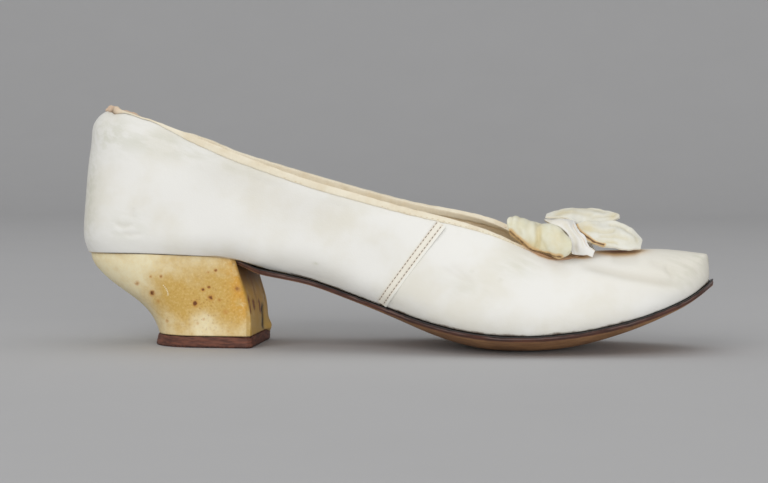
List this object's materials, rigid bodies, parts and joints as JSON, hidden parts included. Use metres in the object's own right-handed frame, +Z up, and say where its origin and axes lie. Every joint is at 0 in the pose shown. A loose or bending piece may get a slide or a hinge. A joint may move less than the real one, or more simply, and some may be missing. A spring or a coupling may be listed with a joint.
{
  "type": "slipper",
  "caption": "Low-cut white kid slipper with a bound collar, a leather bow at the throat, a thin turned sole and a curved covered heel.",
  "frame": {"origin": "on the floor, below the middle of the overall length and width", "axes": "+X towards the toe, +Z up, -Y to the side seen in the picture"},
  "size_m": [0.238, 0.0688, 0.0902],
  "materials": {
    "sole": "dark worn edge, tan below",
    "insole": "dull cream",
    "kid": "satin white kid",
    "binding": "cream tape",
    "heel_wood": "bare",
    "heel_leather": "yellowed and spotted",
    "top_piece": "red-brown, rubbed",
    "bow": "soft cream kid"
  },
  "bodies": {
    "root": {"outsole": "sole", "insole": "insole", "upper": "kid", "topline_binding": "binding", "side_seam_near": "kid", "side_seam_far": "kid", "heel_block": "heel_wood", "heel_cover": "heel_leather", "heel_top_piece": "top_piece", "bow_knot": "bow", "bow_loop_near": "bow", "bow_loop_far": "bow", "bow_tail_near": "bow", "bow_tail_far": "bow"}
  },
  "joints": []
}
